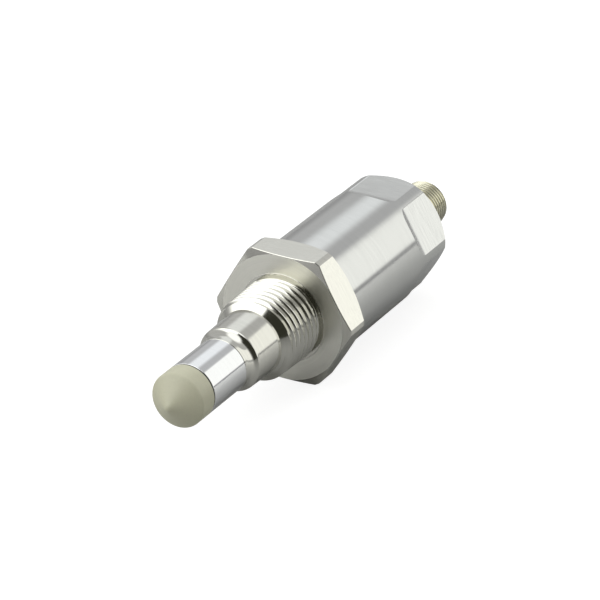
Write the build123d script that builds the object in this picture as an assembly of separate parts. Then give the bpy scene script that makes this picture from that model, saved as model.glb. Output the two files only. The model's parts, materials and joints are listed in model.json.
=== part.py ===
from build123d import *
import os
from math import acos, atan2, cos, radians, sin, sqrt, tan

# Screw-in capacitive level sensor, in millimetres
# The sensor's axis is X: the sensing tip points to -X and the connector to +X.
# The origin is on the axis, in the front face of the large hexagon.

# Clearances between pieces
slip_gap = 0.05              # on the radius, between turned pieces that slide together
moulded_gap = 0.1            # on the radius or the side, round moulded pieces and boards
seal_play = 0.02             # between a seal ring and the walls round it
edge_break = 0.12            # small chamfer that shows a joint as a hairline
cut_margin = 1.0             # how far a cutting solid stands clear of what it cuts

# Sensing tip: cylinder, cone and rounded point
probe_diameter = 13.5
tip_length = 9.3             # from the joint with the tube to the point
tip_cylinder_length = 4.6
tip_corner_radius = 1.2
tip_point_radius = 1.6
tip_spigot_length = 6.5
tip_floor = 3.4              # plastic between the point and the measuring electrode
tip_wall = 1.05              # plastic round the electrodes, in the spigot

# Flat seal between tip and tube
tip_seal_thickness = 0.35
tip_seal_recess = 0.1

# Probe tube
tube_bore = 10.0
tube_length = 13.8           # the part that shows
tube_spigot_wall = 0.9
tube_spigot_length = 7.5

# Process fitting: collar, neck, tapered thread and hexagon, turned in one piece
collar_land = 1.0
collar_flare_radius = 3.6
rim_diameter = 16.0
rim_radius = 0.7
neck_length = 9.6
neck_end_diameter = 16.6
thread_chamfer_length = 1.5
thread_length = 13.3         # from the first full crest to the hexagon
thread_major = 21.34         # crest diameter at the hexagon, 1/2 inch tapered pipe thread
thread_taper = 1 / 16        # on the diameter
thread_relief_length = 1.5
thread_relief_depth = 1.2
face_recess_diameter = 22.6  # shallow turned recess in the hexagon's face, round the thread
face_recess_depth = 0.12
hex_flats = 32.0
hex_corner_diameter = 36.2
hex_length = 8.4
hex_front_angle = 15.0       # of the turned chamfers, from the plane of the face
hex_rear_angle = 37.0
hex_floor = 2.5              # metal between the front face and the electronics space
lead_bore = 7.0
fitting_spigot_length = 9.0

# Seal rings in turned grooves
housing_seal_cord = 1.6
housing_seal_offset = 4.0    # from the hexagon's rear face to the middle of the ring
connector_seal_cord = 1.1
groove_side_play = 0.15

# Housing with six wrench flats at its rear end
housing_diameter = 30.0
housing_bore = 24.0
housing_length = 48.6
housing_rear_wall = 4.0
wrench_flats = 27.0
wrench_length = 12.6         # from the rear face to where the flats are full
wrench_runout_radius = 6.2
rear_chamfer_depth = 2.0     # on the radius
rear_chamfer_length = 3.0

# Round male connector
connector_thread = 12.0
connector_reach = 16.4       # beyond the housing's rear face
connector_relief_length = 2.2
connector_relief_diameter = 10.7
connector_end_chamfer = 0.7
connector_bore = 8.8
connector_flange_diameter = 17.0
connector_flange_thickness = 2.0
connector_skirt_diameter = 13.0
connector_skirt_length = 2.5
socket_depth = 8.8
key_width = 1.3
key_height = 0.75
key_recess = 1.0             # from the connector's end to the key's end
key_angle = 45.0
pin_count = 4
pin_diameter = 1.0
pin_tip_bevel = 0.25
pin_circle = 5.5
pin_recess = 1.2             # from the connector's end to the pins' tips

# Electrodes and their insulators, inside the tip
electrode_thickness = 1.5
electrode_stem_diameter = 2.0
electrode_stem_length = 9.5
electrode_gap = 2.0
guard_length = 7.0
guard_wall = 1.3
lead_diameter = 1.7

# Epoxy plug that closes the fitting's bore
barrier_offset = 2.0         # from the tube's seat to the plug
barrier_length = 11.0

# Electronics on a moulded carrier
carrier_length = 29.5
carrier_ring_thickness = 2.5
carrier_window_height = 17.0
board_thickness = 1.6
board_width = 18.4
board_edge_held = 0.9        # of each long edge, in the carrier's slots
board_clearance = 0.35       # between the board's corners and the fitting's wall
board_overhang = 3.4         # in front of the carrier, inside the fitting
pin_board_diameter = 22.0
header_size = (3.0, 11.0, 2.4)
measuring_chip_size = (4.0, 5.0, 1.0)
microcontroller_size = (7.0, 7.0, 1.2)
driver_size = (5.0, 6.0, 1.5)
regulator_size = (4.5, 6.5, 1.6)
capacitor_size = (1.6, 3.2, 1.6)
capacitor_pitch = 4.0
capacitor_count = 4
chip_spacing = 2.4

# Radii of the pieces that fit in one another
probe_radius = probe_diameter / 2
tip_spigot_radius = tube_bore / 2 - slip_gap
tip_bore_radius = tip_spigot_radius - tip_wall
electrode_radius = tip_bore_radius - slip_gap
tube_spigot_radius = tube_bore / 2 + tube_spigot_wall
lead_hole_radius = lead_diameter / 2 + slip_gap
stem_hole_radius = electrode_stem_diameter / 2 + slip_gap
fitting_spigot_radius = housing_bore / 2 - slip_gap
fitting_cavity_radius = sqrt(board_width ** 2 + board_thickness ** 2) / 2 + board_clearance
carrier_radius = housing_bore / 2 - moulded_gap
carrier_window_width = board_width - 2 * board_edge_held
shank_radius = connector_thread / 2
insert_radius = connector_bore / 2 - slip_gap

# Stations along the axis, from the point to the connector
rim_rise = rim_diameter / 2 - probe_radius
collar_flare_length = sqrt(collar_flare_radius ** 2 - (collar_flare_radius - rim_rise) ** 2)
thread_front = -thread_length
neck_end = thread_front - thread_chamfer_length
neck_front = neck_end - neck_length
flare_front = neck_front - collar_flare_length
fitting_front = flare_front - collar_land
tube_front = fitting_front - tube_length
tube_seat = fitting_front + tube_spigot_length
tip_joint = tube_front - tip_seal_thickness
tip_shoulder = tip_joint - tip_cylinder_length
tip_apex = tip_joint - tip_length
electrode_front = tip_apex + tip_floor
stem_end = electrode_front + electrode_thickness + electrode_stem_length
guard_front = electrode_front + electrode_thickness + electrode_gap
guard_rear = guard_front + guard_length
spigot_end = hex_length + fitting_spigot_length
board_front = spigot_end - board_overhang
carrier_rear = spigot_end + carrier_length
skirt_front = carrier_rear + board_thickness
flange_front = skirt_front + connector_skirt_length
wall_front = flange_front + connector_flange_thickness
housing_rear = hex_length + housing_length
connector_end = housing_rear + connector_reach
insert_face = connector_end - socket_depth


def turned(section):
    """Solid of revolution about X, from a face in the X-Y plane."""
    return revolve(section, Axis.X)


def lathe(*points):
    """Solid of revolution about X, from the corners (x, radius) of its section."""
    return turned(make_face(Polyline(*points, close=True)))


def sleeve(x0, x1, outer, inner=0.0):
    """Straight round piece along X, hollow where an inner radius is given."""
    return lathe((x0, inner), (x0, outer), (x1, outer), (x1, inner))


def block(x0, size, y=0.0, z=0.0):
    """Box that starts at x0 and is centred on y and z."""
    length, width, height = size
    return Pos(x0 + length / 2, y, z) * Box(length, width, height)


def hexagon_bar(x0, x1, flats):
    """Hexagonal bar along X with one flat facing straight up."""
    outline = Plane.YZ.offset(x0) * RegularPolygon(flats / 2, 6, major_radius=False)
    return extrude(outline, amount=x1 - x0)


def rounded(face, corner, radius):
    """Section with the one corner that lies at the given point rounded."""
    return fillet(face.vertices().sort_by_distance(corner)[0], radius)


def seal_ring(x, outer, cord):
    """Square-cut seal ring between a groove and the bore round it."""
    half = cord / 2
    return sleeve(x - half, x + half, outer - seal_play, outer - cord + seal_play)


def groove(x, outer, cord):
    """Turned groove for a seal ring, as a solid to cut away."""
    half = cord / 2 + groove_side_play
    return sleeve(x - half, x + half, outer + cut_margin, outer - cord)


def sensor_tip():
    """Plastic cap with a rounded cone, and a hollow spigot that fits the tube."""
    reach = tip_shoulder - tip_apex - tip_point_radius
    slope = acos(tip_point_radius / sqrt(probe_radius ** 2 + reach ** 2)) - atan2(reach, probe_radius)
    centre = tip_apex + tip_point_radius
    tangent = (centre - tip_point_radius * sin(slope), tip_point_radius * cos(slope))
    halfway = (radians(180) + atan2(tangent[1], tangent[0] - centre)) / 2
    middle = (centre + tip_point_radius * cos(halfway), tip_point_radius * sin(halfway))
    point = ThreePointArc((tip_apex, 0), middle, tangent)
    corner = (tip_shoulder, probe_radius)
    spigot_end_x = tip_joint + tip_spigot_length
    body = Polyline(tangent, corner, (tip_joint, probe_radius), (tip_joint, tip_spigot_radius),
                    (spigot_end_x, tip_spigot_radius), (spigot_end_x, tip_bore_radius),
                    (electrode_front, tip_bore_radius), (electrode_front, 0), (tip_apex, 0))
    return turned(rounded(make_face(point + body), corner, tip_corner_radius))


def tip_seal():
    """Flat ring between the cap's shoulder and the end of the tube."""
    return sleeve(tip_joint, tube_front, probe_radius - tip_seal_recess, tip_spigot_radius + slip_gap)


def probe_tube():
    """Thin-walled tube, with a reduced end that goes into the fitting."""
    tube = sleeve(tube_front, fitting_front, probe_radius)
    tube += sleeve(fitting_front, tube_seat, tube_spigot_radius)
    tube -= sleeve(tube_front, tube_seat, tube_bore / 2)
    rims = tube.edges().filter_by(GeomType.CIRCLE).filter_by(lambda e: abs(e.radius - probe_radius) < 1e-6)
    return chamfer(rims, edge_break)


def shaft_section():
    """Section of the fitting from its collar to the rear of the hexagon, without the hexagon."""
    rim_corner = (neck_front, rim_diameter / 2)
    relief_front = -thread_relief_length
    crest = thread_major / 2
    start_crest = crest - thread_length * thread_taper / 2
    relief_crest = crest - thread_relief_length * thread_taper / 2
    relief_root = crest - thread_relief_depth
    turn = acos(1 - rim_rise / collar_flare_radius)
    flare = ThreePointArc((flare_front, probe_radius),
                          (flare_front + collar_flare_radius * sin(turn / 2),
                           probe_radius + collar_flare_radius * (1 - cos(turn / 2))),
                          rim_corner)
    body = Polyline(rim_corner, (neck_end, neck_end_diameter / 2), (thread_front, start_crest),
                    (relief_front, relief_crest), (relief_front + thread_relief_depth / 2, relief_root),
                    (0, relief_root), (0, crest), (hex_length, crest), (hex_length, 0), (fitting_front, 0),
                    (fitting_front, probe_radius - edge_break), (fitting_front + edge_break, probe_radius),
                    (flare_front, probe_radius))
    return rounded(make_face(flare + body), rim_corner, rim_radius)


def hexagon():
    """Hexagon with turned chamfers on both faces and turned corners."""
    flat, corner = hex_flats / 2, hex_corner_diameter / 2
    rise = corner - flat
    front = rise * tan(radians(hex_front_angle))
    rear = rise * tan(radians(hex_rear_angle))
    turned_blank = lathe((0, 0), (0, flat), (front, corner), (hex_length - rear, corner),
                         (hex_length, flat), (hex_length, 0))
    return hexagon_bar(0, hex_length, hex_flats) & turned_blank


def process_fitting():
    """Collar, neck, thread blank and hexagon, with a spigot behind for the housing."""
    body = turned(shaft_section()) + hexagon()
    recess_inner = thread_major / 2 - thread_relief_depth
    body -= sleeve(0, face_recess_depth, face_recess_diameter / 2, recess_inner)
    body += sleeve(hex_length, spigot_end, fitting_spigot_radius)
    body -= groove(hex_length + housing_seal_offset, housing_bore / 2, housing_seal_cord)
    body -= sleeve(hex_floor, spigot_end, fitting_cavity_radius)
    body -= sleeve(fitting_front, tube_seat, tube_spigot_radius + slip_gap)
    return body - sleeve(tube_seat, hex_floor, lead_bore / 2)


def wrench_cutter():
    """Everything above one wrench flat, with the round run-out of the milling cutter."""
    flat = wrench_flats / 2
    full = housing_rear - wrench_length
    top = housing_diameter / 2 + cut_margin
    rise = min(top - flat, wrench_runout_radius)
    turn = acos(1 - rise / wrench_runout_radius)
    arc_end = (full - wrench_runout_radius * sin(turn), flat + rise)
    arc_middle = (full - wrench_runout_radius * sin(turn / 2),
                  flat + wrench_runout_radius * (1 - cos(turn / 2)))
    runout = ThreePointArc((full, flat), arc_middle, arc_end)
    end = housing_rear + cut_margin
    body = Polyline(arc_end, (arc_end[0], top + cut_margin), (end, top + cut_margin), (end, flat),
                    (full, flat))
    section = Plane.XZ * make_face(runout + body)
    return extrude(section, amount=housing_diameter / 2, both=True)


def housing():
    """Tube with a closed rear wall, turned rear chamfer and six milled flats."""
    outer = housing_diameter / 2
    body = lathe((hex_length, 0), (hex_length, outer - edge_break), (hex_length + edge_break, outer),
                 (housing_rear - rear_chamfer_length, outer), (housing_rear, outer - rear_chamfer_depth),
                 (housing_rear, 0))
    cutter = wrench_cutter()
    for side in range(6):
        body -= Rot(60 * side, 0, 0) * cutter
    body -= sleeve(hex_length, wall_front, housing_bore / 2)
    return body - sleeve(wall_front, housing_rear, shank_radius + slip_gap)


def connector_shell():
    """Threaded barrel with an inner flange, seal groove and relief behind the thread."""
    relief_end = housing_rear + connector_relief_length
    relief = connector_relief_diameter / 2
    step = shank_radius - relief
    skirt = connector_skirt_diameter / 2
    flange = connector_flange_diameter / 2
    shell = lathe((skirt_front, 0), (skirt_front, skirt), (flange_front, skirt),
                  (flange_front, flange), (wall_front, flange), (wall_front, shank_radius),
                  (housing_rear + step, shank_radius), (housing_rear + 2 * step, relief),
                  (relief_end, relief), (relief_end + step, shank_radius),
                  (connector_end - connector_end_chamfer, shank_radius),
                  (connector_end, shank_radius - connector_end_chamfer), (connector_end, 0))
    shell -= groove((wall_front + housing_rear) / 2, shank_radius + slip_gap, connector_seal_cord)
    return shell - sleeve(skirt_front, connector_end, connector_bore / 2)


def pin_places():
    """Angles of the pins about the axis, in degrees."""
    return [360 / pin_count * index for index in range(pin_count)]


def connector_insert():
    """Plastic contact carrier with a keying rib along the socket's wall."""
    insert = sleeve(skirt_front, insert_face, insert_radius)
    rib_front = insert_face
    rib_length = connector_end - key_recess - rib_front
    rib = block(rib_front, (rib_length, key_width, 2 * key_height), z=insert_radius)
    rib &= sleeve(rib_front, rib_front + rib_length, insert_radius)
    insert += Rot(key_angle, 0, 0) * rib
    for angle in pin_places():
        insert -= Rot(angle, 0, 0) * Pos(0, 0, pin_circle / 2) * sleeve(
            skirt_front, insert_face, pin_diameter / 2 + slip_gap)
    return insert


def contact_pin(angle):
    """Turned pin with a bevelled tip, from the round board to near the connector's end."""
    pin = sleeve(carrier_rear, connector_end - pin_recess, pin_diameter / 2)
    tip = pin.edges().filter_by(GeomType.CIRCLE).sort_by(Axis.X)[-1]
    pin = chamfer(tip, pin_tip_bevel)
    return Rot(angle, 0, 0) * Pos(0, 0, pin_circle / 2) * pin


def measuring_electrode():
    """Metal disc behind the tip's floor, with a stem for the lead."""
    disc = sleeve(electrode_front, electrode_front + electrode_thickness, electrode_radius)
    return disc + sleeve(electrode_front + electrode_thickness, stem_end, electrode_stem_diameter / 2)


def electrode_insulator():
    """Washer that keeps the measuring and guard electrodes apart."""
    return sleeve(electrode_front + electrode_thickness, guard_front, electrode_radius, stem_hole_radius)


def guard_electrode():
    """Metal ring that screens the stem."""
    return sleeve(guard_front, guard_rear, electrode_radius, electrode_radius - guard_wall)


def guard_insulator():
    """Sleeve between the guard ring and the stem."""
    return sleeve(guard_front, guard_rear, electrode_radius - guard_wall - slip_gap, stem_hole_radius)


def electrode_lead():
    """Insulated lead from the stem to the front edge of the main board."""
    return sleeve(stem_end, board_front, lead_diameter / 2)


def process_barrier():
    """Cast plug round the lead."""
    start = tube_seat + barrier_offset
    return sleeve(start, start + barrier_length, lead_bore / 2 - slip_gap, lead_hole_radius)


def board_carrier():
    """Moulded frame: two rings joined by side rails, slotted for the board."""
    carrier = sleeve(spigot_end, carrier_rear, carrier_radius)
    window = (carrier_window_width, carrier_window_height)
    carrier -= block(spigot_end, (carrier_length, *window))
    opening_length = carrier_length - 2 * carrier_ring_thickness
    opening = block(spigot_end + carrier_ring_thickness,
                    (opening_length, carrier_window_width, housing_bore))
    slot = block(spigot_end, (carrier_length, board_width + 2 * moulded_gap,
                              board_thickness + 2 * moulded_gap))
    return carrier - opening - slot


def main_board():
    """Circuit board in the carrier's slots, square to the round board behind it."""
    return block(board_front, (carrier_rear - board_front, board_width, board_thickness))


def connector_board():
    """Round board that the pins end on, between the carrier and the connector's skirt."""
    board = sleeve(carrier_rear, skirt_front, pin_board_diameter / 2)
    for angle in pin_places():
        board -= Rot(angle, 0, 0) * Pos(0, 0, pin_circle / 2) * sleeve(
            carrier_rear, skirt_front, pin_diameter / 2 + slip_gap)
    return board


def on_board(x0, size, y=0.0, side=1):
    """Component of the given size that lies on one side of the main board."""
    return block(x0, size, y=y, z=side * (board_thickness + size[2]) / 2)


def components():
    """Chips and header in a row on top of the board, capacitors and regulator under it."""
    placed = {"board_header": on_board(carrier_rear - header_size[0], header_size)}
    x = board_front + chip_spacing
    for name, size in (("measuring_chip", measuring_chip_size),
                       ("microcontroller", microcontroller_size), ("output_driver", driver_size)):
        placed[name] = on_board(x, size)
        x += size[0] + chip_spacing
    x = spigot_end + carrier_ring_thickness + chip_spacing
    for index in range(capacitor_count):
        placed[f"filter_capacitor_{index + 1}"] = on_board(x, capacitor_size, side=-1)
        x += capacitor_pitch
    placed["voltage_regulator"] = on_board(x, regulator_size, side=-1)
    return placed


def build():
    """All pieces by name."""
    nodes = {
        "sensor_tip": sensor_tip(),
        "tip_seal": tip_seal(),
        "probe_tube": probe_tube(),
        "process_fitting": process_fitting(),
        "housing": housing(),
        "housing_seal": seal_ring(hex_length + housing_seal_offset, housing_bore / 2, housing_seal_cord),
        "connector_shell": connector_shell(),
        "connector_seal": seal_ring((wall_front + housing_rear) / 2, shank_radius + slip_gap,
                                    connector_seal_cord),
        "connector_insert": connector_insert(),
        "measuring_electrode": measuring_electrode(),
        "electrode_insulator": electrode_insulator(),
        "guard_electrode": guard_electrode(),
        "guard_insulator": guard_insulator(),
        "electrode_lead": electrode_lead(),
        "process_barrier": process_barrier(),
        "board_carrier": board_carrier(),
        "main_board": main_board(),
        "connector_board": connector_board(),
    }
    for index, angle in enumerate(pin_places(), start=1):
        nodes[f"contact_pin_{index}"] = contact_pin(angle)
    nodes.update(components())
    return nodes


os.makedirs("parts", exist_ok=True)
for name, shape in build().items():
    export_step(shape, f"parts/{name}.step")
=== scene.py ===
import json
from functools import partial
from math import acos, atan2, ceil, cos, pi, radians, sin, sqrt, tan

import bmesh
import bpy
import numpy as np
from bpy.props import FloatProperty, FloatVectorProperty, IntProperty, PointerProperty
from mathutils import Matrix, Vector


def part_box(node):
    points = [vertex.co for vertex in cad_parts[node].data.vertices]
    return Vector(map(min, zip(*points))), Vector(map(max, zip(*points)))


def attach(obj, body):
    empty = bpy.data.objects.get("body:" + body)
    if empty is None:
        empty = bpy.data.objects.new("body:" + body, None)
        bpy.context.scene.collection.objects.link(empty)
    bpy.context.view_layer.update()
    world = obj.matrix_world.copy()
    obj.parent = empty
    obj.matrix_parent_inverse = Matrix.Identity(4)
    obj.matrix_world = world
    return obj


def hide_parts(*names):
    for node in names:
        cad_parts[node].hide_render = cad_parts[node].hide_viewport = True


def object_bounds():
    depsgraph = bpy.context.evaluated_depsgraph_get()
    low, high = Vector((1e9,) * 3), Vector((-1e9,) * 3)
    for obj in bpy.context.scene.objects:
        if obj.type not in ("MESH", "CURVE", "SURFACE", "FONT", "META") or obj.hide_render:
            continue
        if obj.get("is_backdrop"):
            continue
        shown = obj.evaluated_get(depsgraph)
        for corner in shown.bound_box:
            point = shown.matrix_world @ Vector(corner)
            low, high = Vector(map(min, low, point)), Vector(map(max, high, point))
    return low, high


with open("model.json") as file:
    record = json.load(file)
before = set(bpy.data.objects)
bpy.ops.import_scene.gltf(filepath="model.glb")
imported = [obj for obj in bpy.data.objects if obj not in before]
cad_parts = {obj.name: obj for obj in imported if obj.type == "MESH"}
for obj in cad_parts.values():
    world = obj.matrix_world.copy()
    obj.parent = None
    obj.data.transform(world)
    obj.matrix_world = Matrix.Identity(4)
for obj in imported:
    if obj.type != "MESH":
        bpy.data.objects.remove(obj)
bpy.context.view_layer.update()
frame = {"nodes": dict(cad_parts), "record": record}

bl_info = {
    "name": "Capacitive Level Sensor",
    "version": (1, 0, 0),
    "blender": (4, 5, 0),
    "location": "3D View > Sidebar > Sensor",
    "description": "Builds the turned, threaded and milled pieces of a capacitive level sensor",
    "category": "Add Mesh",
}

# The sensor's axis is X. The tip points to -X and the plug to +X.
# An angle round the axis is measured from +Z towards -Y.
BODY = "root"
MM = 0.001
FULL_TURN = 2 * pi
NODES = frame["nodes"]
MATERIALS = {}

# Clearances and edges
SLIP_GAP = 0.05 * MM         # between pieces that slide into each other
SEAL_GAP = 0.02 * MM         # between a seal ring and its bore
EDGE_BREAK = 0.12 * MM       # rounding of an edge that has no radius of its own
EASED_EDGE = 0.08 * MM       # depth of the narrow faces beside the wrench flats
HOLD = 0.06 * MM             # strip beside a rounding that keeps a long face's shading straight
HOLD_ROOM = 2.5              # a side gets that strip where it is this many times longer
SIDE_SHARE = 0.45            # most of a side that one rounding may take
STRAIGHT = radians(2)        # a corner that turns by less is left as it is

# Mesh fineness
FLAT_COLUMNS = 36            # columns across one flat of the hexagon
CORNER_COLUMNS = 4           # columns across one turned corner of the hexagon
TURNED_COLUMNS = 6 * (FLAT_COLUMNS + CORNER_COLUMNS)
PLUG_COLUMNS = 144
PIN_COLUMNS = 24
THREAD_ROWS = 16             # rows for each turn of a thread
CORNER_STEPS = 8             # short straights in a rounded edge
ARC_STEPS = 14               # short straights in a drawn arc
CUTTER_STEPS = 24            # short straights in the cutter's round front end
SHARP_ANGLE = radians(12.2)
FACES_FRONT = 0.99           # part of a face's normal along the axis, past which it faces forward
FACES_SIDEWAYS = 0.01        # and below which it faces straight outwards
WELD = 0.0004 * MM


# Sizes and colours that a user would change

class SensorTipSizes(bpy.types.PropertyGroup):
    """Plastic cap over the electrodes"""
    corner: FloatProperty(name="Corner Radius", unit="LENGTH", default=0.9 * MM,
                          description="Rounding between the cap's cylinder and its cone")
    point: FloatProperty(name="Point Radius", unit="LENGTH", default=1.6 * MM,
                         description="Rounding of the cone's point")
    cylinder: FloatProperty(name="Cylinder Length", unit="LENGTH", default=4.9 * MM,
                            description="Length of the straight part that shows")
    colour: FloatVectorProperty(name="Colour", subtype="COLOR", size=3, min=0, max=1,
                                default=(0.59, 0.582, 0.44),
                                description="Colour of the cap's plastic")


class SensorFittingSizes(bpy.types.PropertyGroup):
    """Turned process fitting"""
    flare: FloatProperty(name="Flare Radius", unit="LENGTH", default=3.6 * MM,
                         description="Radius of the hollow flare in front of the rim")
    rim: FloatProperty(name="Rim Radius", unit="LENGTH", default=0.7 * MM,
                       description="Rounding of the rim behind the flare")
    pitch: FloatProperty(name="Thread Pitch", unit="LENGTH", default=25.4 / 14 * MM,
                         description="Distance from one thread crest to the next")
    depth: FloatProperty(name="Thread Depth", unit="LENGTH", default=1.25 * MM,
                         description="Height of the pipe thread")
    crest: FloatProperty(name="Crest Flat", default=0.17,
                         description="Share of the pitch that is flat on the crest")
    root: FloatProperty(name="Root Flat", default=0.125,
                        description="Share of the pitch that is flat in the root")
    taper: FloatProperty(name="Thread Taper", default=1 / 16,
                         description="Growth of the thread's diameter for each unit of length")
    colour: FloatVectorProperty(name="Colour", subtype="COLOR", size=3, min=0, max=1,
                                default=(0.68, 0.675, 0.625),
                                description="Colour of the turned steel")


class SensorHousingSizes(bpy.types.PropertyGroup):
    """Round housing with wrench flats"""
    flats: IntProperty(name="Wrench Flats", min=3, max=12, default=6,
                       description="Number of flats milled round the rear end")
    across: FloatProperty(name="Across Flats", unit="LENGTH", default=27.0 * MM,
                          description="Distance between opposite wrench flats")
    length: FloatProperty(name="Flat Length", unit="LENGTH", default=12.2 * MM,
                          description="From the rear face to where the flats are full")
    runout: FloatProperty(name="Run-out Radius", unit="LENGTH", default=6.2 * MM,
                          description="Radius that the cutter leaves in front of each flat")
    colour: FloatVectorProperty(name="Colour", subtype="COLOR", size=3, min=0, max=1,
                                default=(0.65, 0.657, 0.645),
                                description="Colour of the housing's steel")


class SensorPlugSizes(bpy.types.PropertyGroup):
    """Round plug with four contacts"""
    pitch: FloatProperty(name="Thread Pitch", unit="LENGTH", default=1.0 * MM,
                         description="Distance from one thread crest to the next")
    depth: FloatProperty(name="Thread Depth", unit="LENGTH", default=0.6 * MM,
                         description="Height of the plug's thread")
    crest: FloatProperty(name="Crest Flat", default=0.32,
                         description="Share of the pitch that is flat on the crest")
    root: FloatProperty(name="Root Flat", default=0.14,
                        description="Share of the pitch that is flat in the root")
    pins: IntProperty(name="Contacts", min=3, max=8, default=4,
                      description="Number of contacts in the plug")
    circle: FloatProperty(name="Contact Circle", unit="LENGTH", default=5.5 * MM,
                          description="Diameter of the circle that the contacts stand on")
    colour: FloatVectorProperty(name="Colour", subtype="COLOR", size=3, min=0, max=1,
                                default=(0.68, 0.66, 0.53),
                                description="Colour of the plated barrel")


class SensorStudioSettings(bpy.types.PropertyGroup):
    """Camera, floor and light"""
    azimuth: FloatProperty(name="Azimuth", subtype="ANGLE", default=radians(-60.62),
                           description="Direction of the camera round the sensor")
    elevation: FloatProperty(name="Elevation", subtype="ANGLE", default=radians(26.61),
                             description="Height of the camera above the horizon")
    distance: FloatProperty(name="Distance", unit="LENGTH", default=793.548 * MM,
                            description="Distance of the camera from the sensor's origin")
    shift_right: FloatProperty(name="Step Right", unit="LENGTH", default=4.204 * MM,
                               description="Sideways place of the camera")
    shift_up: FloatProperty(name="Step Up", unit="LENGTH", default=4.105 * MM,
                            description="Place of the camera along its own up direction")
    lens: FloatProperty(name="Lens", default=203.34, min=1,
                        description="Focal length in millimetres on a 36 mm sensor")
    floor: FloatVectorProperty(name="Floor Size", unit="LENGTH", size=2, default=(0.6, 0.6),
                               description="Length and width of the floor")
    middle: FloatVectorProperty(name="Floor Middle", unit="LENGTH", size=2, default=(0.008, 0.008),
                                description="Place of the floor's middle")


class SensorSettings(bpy.types.PropertyGroup):
    """Everything that can be set on the sensor"""
    tip: PointerProperty(type=SensorTipSizes)
    fitting: PointerProperty(type=SensorFittingSizes)
    housing: PointerProperty(type=SensorHousingSizes)
    plug: PointerProperty(type=SensorPlugSizes)
    studio: PointerProperty(type=SensorStudioSettings)


# Outlines and meshes

def softened(points, closed=True):
    """Outline of (x, radius) points, rounded; a third number is a corner's own radius."""
    result = []
    count = len(points)
    for index, point in enumerate(points):
        corner = Vector(point[:2])
        own = point[2] if len(point) > 2 else EDGE_BREAK
        if not closed and index in (0, count - 1):
            result.append(tuple(corner))
            continue
        before = Vector(points[index - 1][:2]) - corner
        after = Vector(points[(index + 1) % count][:2]) - corner
        angle = before.angle(after)
        if own == 0 or pi - angle < STRAIGHT or corner.y == 0:
            result.append(tuple(corner))
            continue
        cut = min(own / tan(angle / 2), SIDE_SHARE * before.length, SIDE_SHARE * after.length)
        hold = cut + HOLD
        lead, tail = before.length > HOLD_ROOM * hold, after.length > HOLD_ROOM * hold
        before, after = before.normalized(), after.normalized()
        centre = corner + (before + after).normalized() * (cut / cos(angle / 2))
        if lead:
            result.append(tuple(corner + before * hold))
        first, last = corner + before * cut - centre, corner + after * cut - centre
        for step in range(CORNER_STEPS + 1):
            spoke = first.slerp(last, step / CORNER_STEPS).normalized() * first.length
            result.append(tuple(centre + spoke))
        if tail:
            result.append(tuple(corner + after * hold))
    return result


def arc(centre, radius, start, end, steps=ARC_STEPS):
    """Points of an arc in the (x, radius) plane, with angles measured from the x direction."""
    angles = np.linspace(start, end, steps + 1)
    return [(centre[0] + radius * cos(a), centre[1] + radius * sin(a), 0) for a in angles]


def ring(x, radius, angles):
    """Points round the axis; x and radius are numbers, or one number for each angle."""
    one = np.ones(len(angles))
    return np.stack([x * one, -radius * np.sin(angles), radius * np.cos(angles)], axis=1)


def lathe_rings(outline, columns):
    """One ring for each (x, radius) point."""
    angles = np.arange(columns) * FULL_TURN / columns
    return [ring(x, r, angles) for x, r in outline]


def skin(name, rings, closed=True):
    """Mesh that joins rings of equally many points, and last to first where it is closed."""
    columns = len(rings[0])
    faces = []
    for row in range(len(rings) if closed else len(rings) - 1):
        here, there = row * columns, (row + 1) % len(rings) * columns
        for column in range(columns):
            beside = (column + 1) % columns
            faces.append((here + column, here + beside, there + beside, there + column))
    mesh = bpy.data.meshes.new(name)
    mesh.from_pydata(np.concatenate(rings).tolist(), [], faces)
    return mesh


def welded(name, meshes):
    """One closed mesh from several, with doubles merged and faces turned outwards."""
    work = bmesh.new()
    for mesh in meshes:
        work.from_mesh(mesh)
        bpy.data.meshes.remove(mesh)
    bmesh.ops.remove_doubles(work, verts=work.verts, dist=WELD)
    bmesh.ops.dissolve_degenerate(work, edges=work.edges, dist=WELD)
    bmesh.ops.recalc_face_normals(work, faces=work.faces)
    mesh = bpy.data.meshes.new(name)
    work.to_mesh(mesh)
    work.free()
    return mesh


def shade(mesh):
    """Smooth faces that meet in a sharp line where they turn by more than SHARP_ANGLE."""
    mesh.shade_smooth()
    mesh.set_sharp_from_angle(angle=SHARP_ANGLE)


def placed(name, data):
    """New object in the scene."""
    thing = bpy.data.objects.new(name, data)
    bpy.context.scene.collection.objects.link(thing)
    return thing


def piece(name, mesh, material, slot, *nodes):
    """Object for a finished mesh, which rides on the body and stands for the CAD nodes."""
    shade(mesh)
    if material is not None:
        mesh.materials.clear()
        mesh.materials.append(material)
    thing = placed(name, mesh)
    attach(thing, BODY)
    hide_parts(*nodes)


# Node trees

def node(tree, kind, inputs=None, **settings):
    """New node; inputs holds a value or a socket for each named or numbered input."""
    made = tree.nodes.new(kind)
    for key, value in settings.items():
        setattr(made, key, value)
    for key, value in (inputs or {}).items():
        if isinstance(value, bpy.types.NodeSocket):
            tree.links.new(value, made.inputs[key])
        else:
            made.inputs[key].default_value = value
    return made


def emptied(thing):
    """Node tree of a new material or world, without any node."""
    thing.use_nodes = True
    thing.node_tree.nodes.clear()
    return thing.node_tree


def mixed(tree, factor, first, second):
    """Colour between two colours."""
    return node(tree, "ShaderNodeMix", {"Factor": factor, "A": first, "B": second},
                data_type="RGBA").outputs["Result"]


def maths(tree, operation, *values):
    """Result of one Math node on numbers or sockets."""
    inputs = dict(enumerate(values))
    return node(tree, "ShaderNodeMath", inputs, operation=operation).outputs[0]


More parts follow.
